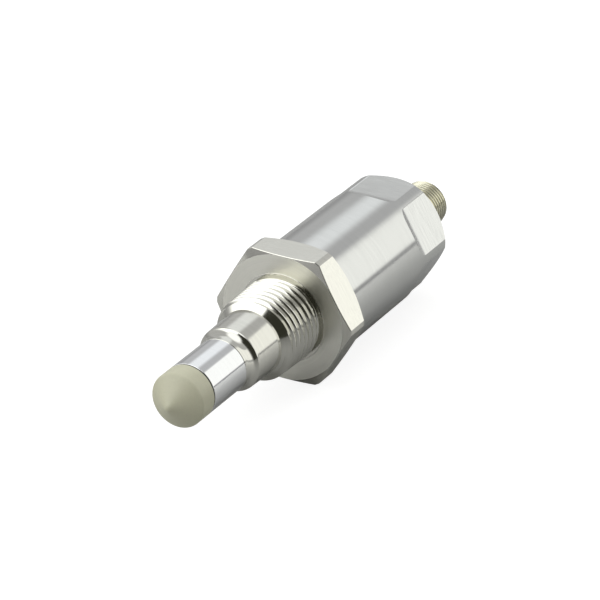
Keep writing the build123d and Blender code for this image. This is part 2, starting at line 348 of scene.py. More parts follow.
def geometry_tree(name, sockets):
    """New Geometry Nodes tree with named inputs and one geometry output."""
    tree = bpy.data.node_groups.new(name, "GeometryNodeTree")
    for label, kind in sockets:
        tree.interface.new_socket(label, in_out="INPUT", socket_type=kind)
    tree.interface.new_socket("Geometry", in_out="OUTPUT", socket_type="NodeSocketGeometry")
    source = tree.nodes.new("NodeGroupInput")
    return tree, source.outputs


def close_tree(tree, geometry, material):
    """Ends a tree in Realize Instances and Set Material."""
    real = node(tree, "GeometryNodeRealizeInstances", {"Geometry": geometry})
    painted = node(tree, "GeometryNodeSetMaterial",
                   {"Geometry": real.outputs[0], "Material": material})
    node(tree, "NodeGroupOutput", {"Geometry": painted.outputs[0]})


def grown(name, tree, values, base=None):
    """Mesh that a Geometry Nodes tree makes from named values."""
    start = base or bpy.data.meshes.new(name)
    thing = placed(name + "_source", start)
    modifier = thing.modifiers.new(name, "NODES")
    modifier.node_group = tree
    for item in tree.interface.items_tree:
        if item.in_out == "INPUT" and item.name in values:
            modifier[item.identifier] = values[item.name]
    bpy.context.view_layer.update()
    depsgraph = bpy.context.evaluated_depsgraph_get()
    mesh = bpy.data.meshes.new_from_object(thing.evaluated_get(depsgraph))
    mesh.name = name
    bpy.data.objects.remove(thing)
    bpy.data.meshes.remove(start)
    return mesh


def thread_tree():
    """Tree for a helical thread that runs out into a bevel at both ends."""
    lengths = ("Start", "End", "Start Radius", "Start Slope", "End Radius", "End Slope",
               "Crest Radius", "Taper", "Pitch", "Depth", "Crest Flat", "Root Flat")
    counts = ("Columns", "Rows", "Turns")
    tree, given = geometry_tree("thread", [(n, "NodeSocketFloat") for n in lengths]
                                + [(n, "NodeSocketInt") for n in counts]
                                + [("Material", "NodeSocketMaterial")])
    sums = partial(maths, tree)
    laps = sums("ADD", given["Turns"], 1)
    rows = sums("MULTIPLY", laps, given["Rows"])
    grid = node(tree, "GeometryNodeMeshGrid", {
        "Size X": 1.0, "Size Y": 1.0, "Vertices X": sums("ADD", given["Columns"], 1),
        "Vertices Y": sums("ADD", rows, 1)})
    spot = node(tree, "GeometryNodeInputPosition").outputs[0]
    place = node(tree, "ShaderNodeSeparateXYZ", {0: spot})
    round_share = sums("ADD", place.outputs[0], 0.5)
    along_share = sums("ADD", place.outputs[1], 0.5)
    lap = sums("SUBTRACT", sums("MULTIPLY_ADD", along_share, laps, round_share), 1)
    free = sums("MULTIPLY_ADD", lap, given["Pitch"], given["Start"])
    x = sums("MINIMUM", sums("MAXIMUM", free, given["Start"]), given["End"])
    from_start = sums("SUBTRACT", x, given["Start"])
    to_end = sums("SUBTRACT", given["End"], x)
    phase = sums("SUBTRACT", sums("DIVIDE", from_start, given["Pitch"]), round_share)
    off_crest = sums("ABSOLUTE", sums("SUBTRACT", sums("FRACT", phase), 0.5))
    share = sums("MULTIPLY", off_crest, 2)
    cut = node(tree, "ShaderNodeMapRange", {
        "Value": share, "From Min": given["Crest Flat"],
        "From Max": sums("SUBTRACT", 1, given["Root Flat"])}).outputs[0]
    fall = sums("MULTIPLY", sums("MULTIPLY", to_end, given["Taper"]), 0.5)
    crest = sums("SUBTRACT", given["Crest Radius"], fall)
    thread = sums("SUBTRACT", crest, sums("MULTIPLY", cut, given["Depth"]))
    rise = sums("MULTIPLY_ADD", from_start, given["Start Slope"], given["Start Radius"])
    drop = sums("MULTIPLY_ADD", to_end, given["End Slope"], given["End Radius"])
    radius = sums("MINIMUM", sums("MINIMUM", thread, rise), drop)
    angle = sums("MULTIPLY", round_share, FULL_TURN)
    y = sums("MULTIPLY", sums("MULTIPLY", sums("SINE", angle), radius), -1)
    z = sums("MULTIPLY", sums("COSINE", angle), radius)
    position = node(tree, "ShaderNodeCombineXYZ", {0: x, 1: y, 2: z})
    moved = node(tree, "GeometryNodeSetPosition",
                 {"Geometry": grid.outputs[0], "Position": position.outputs[0]})
    merged = node(tree, "GeometryNodeMergeByDistance",
                  {"Geometry": moved.outputs[0], "Distance": WELD})
    close_tree(tree, merged.outputs[0], given["Material"])
    return tree


def cut_thread(name, sizes, columns, values):
    """Mesh of a thread with the pitch, depth and flats that a user set for it."""
    length = values["End"] - values["Start"]
    return grown(name, thread_tree(), {
        **values, "Pitch": sizes.pitch, "Depth": sizes.depth, "Crest Flat": sizes.crest,
        "Root Flat": sizes.root, "Columns": columns, "Rows": THREAD_ROWS,
        "Turns": ceil(length / sizes.pitch), "Material": None})


def copies_round_axis(tree, thing, count):
    """Instances of an object, evenly turned about X."""
    turn = maths(tree, "DIVIDE", FULL_TURN, count)
    number = node(tree, "GeometryNodeInputIndex").outputs[0]
    angles = node(tree, "ShaderNodeCombineXYZ", {0: maths(tree, "MULTIPLY", number, turn)})
    spots = node(tree, "GeometryNodePoints", {"Count": count})
    source = node(tree, "GeometryNodeObjectInfo", {"Object": thing, "As Instance": True})
    return node(tree, "GeometryNodeInstanceOnPoints", {
        "Points": spots.outputs[0], "Instance": source.outputs["Geometry"],
        "Rotation": angles.outputs[0]}).outputs[0]


def pattern_tree():
    """Tree that repeats an object round the sensor's axis."""
    tree, given = geometry_tree("round_pattern", [
        ("Object", "NodeSocketObject"), ("Count", "NodeSocketInt"),
        ("Material", "NodeSocketMaterial")])
    close_tree(tree, copies_round_axis(tree, given["Object"], given["Count"]), given["Material"])
    return tree


# Materials

MARK_HEIGHT = 0.01 * MM      # height of marks and grain at full strength
TURNING_DRIFT = 0.02         # how much turning marks wander round the axis
GRAIN = 4000                 # specks of moulded plastic for each metre
# Painted light: the faced, hexagon and milled faces get brighter copies of the plain steel's
# colour, which stand in for the light that falls on them.
FACED_PAINTED_LIGHT = 1.25                 # brightness of faced, hexagon and milled faces beside the plain steel
HEXAGON_PAINTED_LIGHT = 1.12
MILLED_PAINTED_LIGHT = 1.06


def brighter(colour, factor):
    """A colour made brighter by a factor."""
    return tuple(factor * c for c in colour)


def material(name, colour, roughness, metallic=0.0, **sockets):
    """New material; its shader and the position in the piece's own space are returned with it."""
    made = bpy.data.materials.new(name)
    tree = emptied(made)
    shader = node(tree, "ShaderNodeBsdfPrincipled", {
        "Base Color": (*colour, 1), "Roughness": roughness, "Metallic": metallic})
    for label, value in sockets.items():
        shader.inputs[label.replace("_", " ").title().replace("Ior", "IOR")].default_value = value
    node(tree, "ShaderNodeOutputMaterial", {"Surface": shader.outputs[0]})
    made.diffuse_color = (*colour, 1)
    here = node(tree, "ShaderNodeTexCoord").outputs["Object"]
    return made, tree, shader, here


def noise(tree, vector, scale, detail=2.0, roughness=0.5):
    """Noise value, with its scale in features for each metre."""
    return node(tree, "ShaderNodeTexNoise", {
        "Vector": vector, "Scale": scale, "Detail": detail, "Roughness": roughness}).outputs[0]


def spread(tree, value, low, high):
    """A noise value turned into the range from low to high."""
    return node(tree, "ShaderNodeMapRange", {
        "Value": value, "From Min": 0.3, "From Max": 0.7, "To Min": low, "To Max": high}).outputs[0]


def stretched(tree, vector, scale):
    """Position scaled differently along each direction."""
    return node(tree, "ShaderNodeMapping", {"Vector": vector, "Scale": scale}).outputs[0]


def lathe_position(tree, here):
    """Place along the axis, distance from it and a little of the place round it."""
    parts = node(tree, "ShaderNodeSeparateXYZ", {0: here})
    across = node(tree, "ShaderNodeCombineXYZ", {1: parts.outputs[1], 2: parts.outputs[2]})
    radius = node(tree, "ShaderNodeVectorMath", {0: across.outputs[0]}, operation="LENGTH")
    drift = maths(tree, "MULTIPLY", maths(tree, "ADD", parts.outputs[1], parts.outputs[2]),
                  TURNING_DRIFT)
    return node(tree, "ShaderNodeCombineXYZ",
                {0: parts.outputs[0], 1: radius.outputs["Value"], 2: drift}).outputs[0]


def tinted(tree, shader, colour, amount, value):
    """Base colour that darkens a little where the value is high."""
    dark = brighter(colour, 1 - amount)
    mix = mixed(tree, value, (*colour, 1), (*dark, 1))
    tree.links.new(mix, shader.inputs["Base Color"])


def bumped(tree, shader, height, strength):
    """Bump on the shader's normal."""
    bump = node(tree, "ShaderNodeBump",
                {"Height": height, "Strength": strength, "Distance": MARK_HEIGHT})
    tree.links.new(bump.outputs[0], shader.inputs["Normal"])


def polished_unevenly(tree, shader, value, low, high):
    """Roughness that follows a noise value from low to high."""
    tree.links.new(spread(tree, value, low, high), shader.inputs["Roughness"])


def worked_round_axis(tree, shader, amount):
    """Reflections drawn out across marks that run round the axis."""
    shader.inputs["Anisotropic"].default_value = amount
    shader.inputs["Anisotropic Rotation"].default_value = 0.25
    tangent = node(tree, "ShaderNodeTangent", direction_type="RADIAL", axis="X")
    tree.links.new(tangent.outputs[0], shader.inputs["Tangent"])


def turned_metal(name, colour, roughness, vary=0.03, marks=0.02, pitch=0.16 * MM, tint=0.06,
                 aniso=0.2):
    """Metal with fine turning marks round the axis and patches of different polish."""
    made, tree, shader, here = material(name, colour, roughness, metallic=1.0)
    lathe = lathe_position(tree, here)
    patches = noise(tree, here, 260, detail=3)
    polished_unevenly(tree, shader, patches, roughness - vary, roughness + vary)
    bumped(tree, shader, noise(tree, lathe, 1 / pitch, detail=3, roughness=0.6), marks)
    streaks = noise(tree, lathe, 0.35 / pitch, detail=2)
    tinted(tree, shader, colour, tint, spread(tree, streaks, 0, 1))
    worked_round_axis(tree, shader, aniso)
    return made


def brushed_metal(name, colour, roughness):
    """Metal with straight brush marks across the axis, as a milled flat has."""
    made, tree, shader, here = material(name, colour, roughness, metallic=1.0)
    lines = noise(tree, stretched(tree, here, (3600, 260, 260)), 1, detail=2, roughness=0.5)
    patches = noise(tree, stretched(tree, here, (900, 160, 160)), 1, detail=2)
    polished_unevenly(tree, shader, patches, roughness - 0.03, roughness + 0.04)
    bumped(tree, shader, lines, 0.012)
    tinted(tree, shader, colour, 0.10, spread(tree, lines, 0, 1))
    worked_round_axis(tree, shader, 0.8)
    return made


def tip_plastic(colour):
    """Turned engineering plastic: fine rings, a faint mottle and a soft sheen."""
    made, tree, shader, here = material("tip_plastic", colour, 0.42, specular_ior_level=0.4)
    rings = noise(tree, lathe_position(tree, here), 6500, detail=2)
    mottle = noise(tree, here, 1400, detail=4, roughness=0.6)
    tinted(tree, shader, colour, 0.05, spread(tree, mottle, 0, 1))
    polished_unevenly(tree, shader, mottle, 0.36, 0.44)
    bumped(tree, shader, rings, 0.04)
    return made


def moulded_plastic(name, colour, roughness, tint):
    """Moulded or cast plastic with a fine grain."""
    made, tree, shader, here = material(name, colour, roughness)
    speck = noise(tree, here, GRAIN, detail=3)
    tinted(tree, shader, colour, tint, spread(tree, speck, 0, 1))
    patches = noise(tree, here, GRAIN / 9, detail=2)
    polished_unevenly(tree, shader, patches, roughness - 0.06, roughness + 0.06)
    bumped(tree, shader, speck, 0.15)
    return made


def seal_rubber():
    """Matte seal rubber with a dusty bloom."""
    colour = (0.012, 0.012, 0.013)
    made, tree, shader, here = material("seal_rubber", colour, 0.75)
    bloom = noise(tree, here, 2500, detail=4, roughness=0.7)
    pale = brighter(colour, 2.2)
    mix = mixed(tree, spread(tree, bloom, 0, 0.6), (*colour, 1), (*pale, 1))
    tree.links.new(mix, shader.inputs["Base Color"])
    bumped(tree, shader, bloom, 0.2)
    return made


def board_laminate():
    """Green circuit board with a faint glass weave and darker copper areas under the lacquer."""
    colour = (0.02, 0.16, 0.06)
    made, tree, shader, here = material("board_laminate", colour, 0.3, coat_weight=0.4)
    weave = node(tree, "ShaderNodeTexWave",
                 {"Vector": here, "Scale": 1500.0, "Distortion": 2.0}).outputs[1]
    copper = node(tree, "ShaderNodeTexBrick", {
        "Vector": here, "Scale": 260.0, "Mortar Size": 0.08, "Color1": (0.02, 0.19, 0.07, 1),
        "Color2": (0.015, 0.13, 0.05, 1), "Mortar": (0.03, 0.26, 0.1, 1)}).outputs[0]
    tree.links.new(copper, shader.inputs["Base Color"])
    bumped(tree, shader, weave, 0.1)
    return made


def make_materials(settings):
    """All materials by name: the record's slots, and the brighter copies of the steels that carry
    painted light on the faced, hexagon and milled faces.
    """
    steel, housing, plug = settings.fitting.colour, settings.housing.colour, settings.plug.colour
    made = {
        "tip_plastic": tip_plastic(settings.tip.colour),
        "seal_rubber": seal_rubber(),
        "board_laminate": board_laminate(),
        # Painted light: the milled flats get a slightly brighter copy of the housing's steel.
        "milled_steel_painted_light": brushed_metal("milled_steel_painted_light", brighter(housing, MILLED_PAINTED_LIGHT), 0.15),
    }
    inner = {"vary": 0.04, "marks": 0.08, "tint": 0.12, "aniso": 0.4}
    for name, colour, roughness, finish in (
            ("polished_steel", (0.78, 0.79, 0.80), 0.06,
             {"vary": 0.015, "marks": 0.008, "tint": 0.03}),
            ("turned_steel", steel, 0.12, {}),
            # Painted light: the hexagon's sides and its faced front get brighter copies of the
            # turned steel; the faced copy is also rougher.
            ("hexagon_steel_painted_light", brighter(steel, HEXAGON_PAINTED_LIGHT), 0.12, {}),
            ("faced_steel_painted_light", brighter(steel, FACED_PAINTED_LIGHT), 0.3,
             {"vary": 0.02, "marks": 0.03, "tint": 0.05, "aniso": 0.3}),
            ("brushed_steel", housing, 0.14,
             {"vary": 0.025, "marks": 0.015, "pitch": 0.12 * MM, "tint": 0.05}),
            ("plated_brass", plug, 0.18, {}),
            ("gilt_contact", (0.85, 0.62, 0.24), 0.15, inner),
            ("electrode_metal", (0.66, 0.47, 0.22), 0.25, inner)):
        made[name] = turned_metal(name, colour, roughness, **finish)
    for name, colour, roughness, tint in (
            ("plug_plastic", (0.015, 0.015, 0.017), 0.5, 0.2),
            ("insulator_plastic", (0.75, 0.75, 0.71), 0.45, 0.08),
            ("lead_insulation", (0.35, 0.03, 0.02), 0.4, 0.2),
            ("casting_resin", (0.02, 0.02, 0.025), 0.25, 0.2),
            ("carrier_plastic", (0.03, 0.03, 0.033), 0.5, 0.2),
            ("chip_plastic", (0.02, 0.02, 0.02), 0.55, 0.2),
            ("capacitor_ceramic", (0.36, 0.24, 0.13), 0.5, 0.2)):
        made[name] = moulded_plastic(name, colour, roughness, tint)
    return made


def slot_material(slot):
    """Material of a record slot; all are made the first time that one is asked for."""
    if not MATERIALS:
        MATERIALS.update(make_materials(bpy.context.scene.sensor))
    return MATERIALS[slot]


def start_of(node_name):
    """Where a CAD node begins along the sensor's axis."""
    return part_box(node_name)[0].x


def end_of(node_name):
    """Where a CAD node ends along the sensor's axis."""
    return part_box(node_name)[1].x


def radius_of(node_name):
    """Outer radius of a round CAD node."""
    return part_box(node_name)[1].y


# Pieces

class SENSOR_OT_tip(bpy.types.Operator):
    """Plastic cap with a blunt cone and a hollow spigot"""
    bl_idname = "sensor.tip"
    bl_label = "Sensing Tip"

    def execute(self, context):
        sizes = context.scene.sensor.tip
        low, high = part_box("sensor_tip")
        apex, spigot_end, outer = low.x, high.x, high.y
        tube_wall = 1.8 * MM
        joint = start_of("tip_seal")
        shoulder = joint - sizes.cylinder
        bore = radius_of("measuring_electrode") + SLIP_GAP
        spigot = radius_of("probe_tube") - tube_wall
        floor = start_of("measuring_electrode")
        reach = shoulder - apex - sizes.point
        slope = acos(sizes.point / sqrt(outer ** 2 + reach ** 2)) - atan2(reach, outer)
        point = arc((apex + sizes.point, 0), sizes.point, pi, pi / 2 + slope)
        outline = softened(point + [
            (shoulder, outer, sizes.corner), (joint, outer), (joint, spigot), (spigot_end, spigot),
            (spigot_end, bore), (floor, bore), (floor, 0)])
        mesh = welded("sensor_tip_cap", [skin("cap", lathe_rings(outline, TURNED_COLUMNS))])
        piece("sensor_tip_cap", mesh, slot_material("tip_plastic"), "tip_plastic", "sensor_tip")
        return {"FINISHED"}


class SENSOR_OT_tube(bpy.types.Operator):
    """Polished probe tube with a reduced rear end"""
    bl_idname = "sensor.tube"
    bl_label = "Probe Tube"

    def execute(self, context):
        low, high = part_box("probe_tube")
        wall, step = 1.75 * MM, 0.85 * MM
        seat = start_of("process_fitting")
        outer, bore, spigot = high.y, high.y - wall, high.y - step
        outline = softened([(low.x, bore), (low.x, outer), (seat, outer), (seat, spigot),
                            (high.x, spigot), (high.x, bore)])
        mesh = welded("probe_tube_polished", [skin("tube", lathe_rings(outline, TURNED_COLUMNS))])
        piece("probe_tube_polished", mesh, slot_material("polished_steel"), "polished_steel",
              "probe_tube")
        return {"FINISHED"}


def hexagon_rings(flat, corner, length, front_angle, rear_angle):
    """Rings over a hexagon's front face, its sides and its rear face, with turned chamfers."""
    half = acos(flat / corner)
    across = np.concatenate([np.linspace(-half, half, FLAT_COLUMNS, endpoint=False),
                             np.linspace(half, pi / 3 - half, CORNER_COLUMNS, endpoint=False)])
    angles = np.concatenate([across + side * pi / 3 for side in range(6)])
    reach = np.minimum(np.tile(flat / np.cos(np.minimum(across, half)), 6), corner)
    inner = reach - EDGE_BREAK
    front = np.maximum(inner - flat, 0) * tan(front_angle)
    rear = length - np.maximum(inner - flat, 0) * tan(rear_angle)
    rings = [ring(0, np.minimum(flat, inner), angles), ring(front, inner, angles),
             ring(front + EDGE_BREAK, reach, angles), ring(rear - EDGE_BREAK, reach, angles),
             ring(rear, inner, angles), ring(length, np.minimum(flat, inner), angles)]
    # The first column moves to the middle of the top flat, where the turned rings start
    return [np.roll(r, -(FLAT_COLUMNS // 2), axis=0) for r in rings]


class SENSOR_OT_fitting(bpy.types.Operator):
    """Process fitting: flared collar, neck, pipe thread, hexagon and rear spigot"""
    bl_idname = "sensor.fitting"
    bl_label = "Process Fitting"

    def execute(self, context):
        sizes = context.scene.sensor.fitting
        low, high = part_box("process_fitting")
        flat, corner, length = high.z, high.y, start_of("housing")
        probe = radius_of("probe_tube")
        rim, rim_x = 8.0 * MM, -24.4 * MM
        neck, neck_x = 8.3 * MM, -14.8 * MM
        crest, relief = 10.67 * MM, 9.47 * MM
        first_crest_x, relief_x = -13.3 * MM, -1.5 * MM
        relief_slope = 2.0
        relief_floor_x = relief_x + (crest - relief) / relief_slope
        land, land_x, land_edge = 11.3 * MM, -0.15 * MM, 0.1 * MM
        front_chamfer, rear_chamfer = radians(17), radians(36)
        collar = self.collar(sizes, probe, (rim_x, rim), (neck - rim) / (neck_x - rim_x))
        front = softened([(low.x, probe)] + collar + [(neck_x, neck)], closed=False)
        start_crest = crest + (first_crest_x - relief_floor_x) * sizes.taper / 2
        thread = cut_thread("pipe_thread", sizes, TURNED_COLUMNS, {
            "Start": neck_x, "Start Radius": neck,
            "Start Slope": (start_crest - neck) / (first_crest_x - neck_x),
            "End": relief_floor_x, "End Radius": relief, "End Slope": relief_slope,
            "Crest Radius": crest, "Taper": sizes.taper})
        relief_width = land_x - relief_floor_x
        hollow = arc((relief_floor_x, relief + relief_width), relief_width, -pi / 2, 0)
        behind = softened(hollow + [(land_x, land, land_edge), (0, land)], closed=False)
        spigot, spigot_end = radius_of("board_carrier") + SLIP_GAP, high.x
        groove_x, groove, groove_floor = 12.4 * MM, 0.95 * MM, 10.4 * MM
        cavity, cavity_x, lead, step = 9.58 * MM, 2.5 * MM, 3.5 * MM, 0.8 * MM
        counterbore, seat = probe - step, end_of("probe_tube")
        rear = softened([
            (length, spigot), (groove_x - groove, spigot), (groove_x - groove, groove_floor),
            (groove_x + groove, groove_floor), (groove_x + groove, spigot), (spigot_end, spigot),
            (spigot_end, cavity), (cavity_x, cavity), (cavity_x, lead), (seat, lead),
            (seat, counterbore), (low.x, counterbore)], closed=False)
        nose = [rear[-1], (low.x, probe - EDGE_BREAK), (low.x + EDGE_BREAK, probe)]
        closing = lathe_rings(nose + front[1:], TURNED_COLUMNS)
        hexagon = hexagon_rings(flat, corner, length, front_chamfer, rear_chamfer)
        parts = [skin("front", closing, closed=False), thread,
                 skin("rear", lathe_rings(behind, TURNED_COLUMNS) + hexagon
                      + lathe_rings(rear, TURNED_COLUMNS), closed=False)]
        mesh = welded("process_fitting_turned", parts)
        for finish in ("turned_steel", "faced_steel_painted_light", "hexagon_steel_painted_light"):
            mesh.materials.append(slot_material(finish))
        # Painted light: faces that look forward get the brighter faced copy, and faces that look
        # straight outwards get the brighter hexagon copy.
        for face in mesh.polygons:
            outside = face.center.yz.length > land
            if outside and face.normal.x < -FACES_FRONT:
                face.material_index = 1
            elif outside and abs(face.normal.x) < FACES_SIDEWAYS:
                face.material_index = 2
        piece("process_fitting_turned", mesh, None, "turned_steel", "process_fitting")
        return {"FINISHED"}

    def collar(self, sizes, probe, corner, slope):
        """Hollow flare up to a rounded rim, which runs into the sloping neck."""
        turn = acos(1 - (corner[1] - probe) / sizes.flare)
        hollow = Vector((corner[0] - sizes.flare * sin(turn), probe + sizes.flare))
        lean = atan2(slope, 1)
        inner = Vector(corner) + Vector((sin(lean), -cos(lean))) * sizes.rim - hollow
        along = Vector((cos(lean), sin(lean)))
        reach = sizes.flare + sizes.rim
        step = -inner.dot(along) + sqrt(inner.dot(along) ** 2 + reach ** 2 - inner.length_squared)
        centre = hollow + inner + along * step
        meet = atan2(hollow.y - centre.y, hollow.x - centre.x)
        flare = arc(hollow, sizes.flare, -pi / 2, meet - pi)
        return flare + arc(centre, sizes.rim, meet, pi / 2 + lean)[1:]


def wrench_tree():
    """Tree that mills flats round a turned mesh with copies of a cutter."""
    tree, given = geometry_tree("wrench_flats", [
        ("Geometry", "NodeSocketGeometry"), ("Cutter", "NodeSocketObject"),
        ("Count", "NodeSocketInt")])
    copies = copies_round_axis(tree, given["Cutter"], given["Count"])
    cutters = node(tree, "GeometryNodeRealizeInstances", {"Geometry": copies})
    cut = node(tree, "GeometryNodeMeshBoolean", operation="DIFFERENCE", solver="EXACT")
    tree.links.new(given["Geometry"], cut.inputs["Mesh 1"])
    tree.links.new(cutters.outputs[0], cut.inputs["Mesh 2"])
    real = node(tree, "GeometryNodeRealizeInstances", {"Geometry": cut.outputs[0]})
    node(tree, "NodeGroupOutput", {"Geometry": real.outputs[0]})
    return tree


class SENSOR_OT_housing(bpy.types.Operator):
    """Round housing with milled wrench flats at its rear end"""
    bl_idname = "sensor.housing"
    bl_label = "Housing"

    def execute(self, context):
        sizes = context.scene.sensor.housing
        low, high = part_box("housing")
        outer, bore, rear_wall = high.y, 12.0 * MM, 4.0 * MM
        wall, hole = high.x - rear_wall, radius_of("connector_seal") + SEAL_GAP
        bevel, bevel_length = 2.0 * MM, 2.5 * MM
        bevel_edge, rear_edge = 0.4 * MM, 0.3 * MM
        outline = softened([
            (low.x, bore), (low.x, outer), (high.x - bevel_length, outer, bevel_edge),
            (high.x, outer - bevel, rear_edge), (high.x, hole), (wall, hole), (wall, bore)])
        base = welded("housing_turned", [skin("housing", lathe_rings(outline, TURNED_COLUMNS))])
        base.materials.append(slot_material("brushed_steel"))
        cutter = self.cutter(sizes, high.x, outer)
        mesh = grown("housing_milled", wrench_tree(),
                     {"Cutter": cutter, "Count": sizes.flats}, base)
        bpy.data.meshes.remove(cutter.data)
        piece("housing_milled", mesh, None, "brushed_steel", "housing")
        return {"FINISHED"}

    def cutter(self, sizes, rear, outer):
        """Solid above one flat, with a round front end."""
        margin, flat, cutter_share = 1.5 * MM, sizes.across / 2, 0.92
        full = rear - sizes.length
        rise = outer + margin - flat
        turn = acos(1 - rise / sizes.runout) if rise < sizes.runout else pi / 2
        middle = (full, flat + sizes.runout)
        curve = arc(middle, sizes.runout, -pi / 2, -pi / 2 - turn, CUTTER_STEPS)
        front, back, top = curve[-1][0], rear + margin, outer + 2 * margin
        side = [point[:2] for point in curve] + [(front, top), (back, top), (back, flat)]
        width = cutter_share * flat * tan(pi / sizes.flats)
        lean = acos(flat / outer) / 2
        even = (outer * cos(lean) - EASED_EDGE - flat * cos(lean)) / sin(lean)
        lift = (width - even) * tan(lean)
        count = len(side)
        points = [(x, y, z + up) for y, up in ((-width, lift), (-even, 0), (even, 0), (width, lift))
                  for x, z in side]
        faces = [tuple(range(count)), tuple(range(4 * count - 1, 3 * count - 1, -1))]
        faces += [(row + i, row + i + count, row + (i + 1) % count + count, row + (i + 1) % count)
                  for row in (0, count, 2 * count) for i in range(count)]
        shell = bpy.data.meshes.new("cutter")
        shell.from_pydata(points, [], faces)
        mesh = welded("flat_cutter", [shell])
        # Painted light: the flats that this cutter leaves get the slightly brighter copy of the
        # housing's steel.
        mesh.materials.append(slot_material("milled_steel_painted_light"))
        return placed("flat_cutter", mesh)


class SENSOR_OT_plug(bpy.types.Operator):
    """Threaded barrel of the round plug, and its contacts"""
    bl_idname = "sensor.plug"
    bl_label = "Plug"

    def execute(self, context):
        sizes = context.scene.sensor.plug
        low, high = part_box("connector_shell")
        rear_face = end_of("housing")
        crest, relief, mouth = 6.0 * MM, 5.35 * MM, 5.3 * MM
        bore = radius_of("connector_insert") + SLIP_GAP
        skirt, skirt_x = 6.5 * MM, 51.0 * MM
        flange, flange_x = high.z, 53.0 * MM
        relief_x, start = rear_face + 2 * (crest - relief), rear_face + 2.2 * MM
        groove_x, groove, groove_floor = 55.0 * MM, 0.7 * MM, 4.95 * MM
        front = softened([
            (low.x, bore), (low.x, skirt), (skirt_x, skirt), (skirt_x, flange), (flange_x, flange),
            (flange_x, crest), (groove_x - groove, crest), (groove_x - groove, groove_floor),
            (groove_x + groove, groove_floor), (groove_x + groove, crest),
            (relief_x - (crest - relief), crest), (relief_x, relief), (start, relief)],
            closed=False)
        thread = cut_thread("plug_thread", sizes, PLUG_COLUMNS, {
            "Start": start, "Start Radius": relief, "Start Slope": 1.0, "End": high.x,
            "End Radius": mouth, "End Slope": 1.0, "Crest Radius": crest, "Taper": 0.0})
        inside = softened([(high.x, mouth), (high.x, bore), (low.x, bore)], closed=False)
        mesh = welded("plug_barrel", [
            skin("front", lathe_rings(front, PLUG_COLUMNS), closed=False), thread,
            skin("inside", lathe_rings(inside, PLUG_COLUMNS), closed=False)])
        piece("plug_barrel", mesh, slot_material("plated_brass"), "plated_brass", "connector_shell")
        self.contacts(sizes)
        return {"FINISHED"}

    def contacts(self, sizes):
        """Round-tipped contacts, repeated round the axis."""
        low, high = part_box("contact_pin_1")
        radius, round_end = (high.y - low.y) / 2, 0.42 * MM
        outline = softened([(low.x, 0), (low.x, radius), (high.x, radius, round_end), (high.x, 0)])
        rings = [r + np.array([0, 0, sizes.circle / 2]) for r in lathe_rings(outline, PIN_COLUMNS)]
        master = placed("contact_master", welded("contact", [skin("contact", rings)]))
        mesh = grown("contacts", pattern_tree(), {
            "Object": master, "Count": sizes.pins, "Material": slot_material("gilt_contact")})
        bpy.data.meshes.remove(master.data)
        piece("contacts", mesh, slot_material("gilt_contact"), "gilt_contact",
              *(f"contact_pin_{number}" for number in range(1, sizes.pins + 1)))


class SENSOR_OT_inner(bpy.types.Operator):
    """Materials of the seals, electrodes, boards and other pieces that keep their CAD form"""
    bl_idname = "sensor.inner"
    bl_label = "Inner Pieces"

    def execute(self, context):
        slots = {row["node"]: row["material_slot"] for row in frame["record"]["subparts"]}
        for name, thing in NODES.items():
            thing.data.materials.clear()
            thing.data.materials.append(slot_material(slots[name]))
        return {"FINISHED"}


# Studio

# Panels of the room: azimuths, elevations, colour and the softness of both edges, in degrees
PANELS = (
    ((-200, 200), (64, 100), (1.55, 1.56, 1.57), (5, 8)),        # overhead
    ((104, 184), (10, 64), (2.05, 2.06, 2.02), (9, 6)),          # beyond the tip
    ((5, 44), (26.5, 60), (1.05, 1.07, 1.08), (7, 5)),           # beyond the plug
    ((-92, -17), (1.4, 37), (1.26, 1.26, 1.21), (5, 1.4)),       # to the right
    ((-30, -8), (1.4, 20), (1.28, 1.28, 1.23), (3, 1.4)),        # low at its far end
    ((-180, -98), (-80, 64), (0.04, 0.04, 0.03), (6, 6)),        # dark side behind the camera
)
WALL_FOOT, WALL_HEAD, HEAD_LIFT = 0.38, 0.58, 10.0       # two greys, and where the second starts
SHEET, SHEET_ROUGHNESS = (0.42, 0.42, 0.415, 1), 0.22    # the floor that the pieces mirror
PALE, PALE_GLOW = (0.3, 0.3, 0.3, 1), 0.86               # the floor that the camera sees
SENSOR_WIDTH = 36


def camera_axes(azimuth, elevation):
    """Right, up and back directions of a camera that looks at the sensor."""
    right = Vector((cos(azimuth), sin(azimuth), 0))
    back = Vector((sin(azimuth) * cos(elevation), -cos(azimuth) * cos(elevation), sin(elevation)))
    return right, back.cross(right), back


def softbox(tree, place, below, azimuths, elevations, colour, edge):
    """A glowing panel with soft edges, laid over the colour below; angles are in degrees."""
    mask = None
    for value, (low, high), soft in zip(place, (azimuths, elevations), edge):
        up = node(tree, "ShaderNodeMapRange", {
            "Value": value, "From Min": low - soft, "From Max": low + soft},
            interpolation_type="SMOOTHSTEP").outputs[0]
        down = node(tree, "ShaderNodeMapRange", {
            "Value": value, "From Min": high + soft, "From Max": high - soft},
            interpolation_type="SMOOTHSTEP").outputs[0]
        both = maths(tree, "MULTIPLY", up, down)
        mask = both if mask is None else maths(tree, "MULTIPLY", mask, both)
    return mixed(tree, mask, below, (*colour, 1))


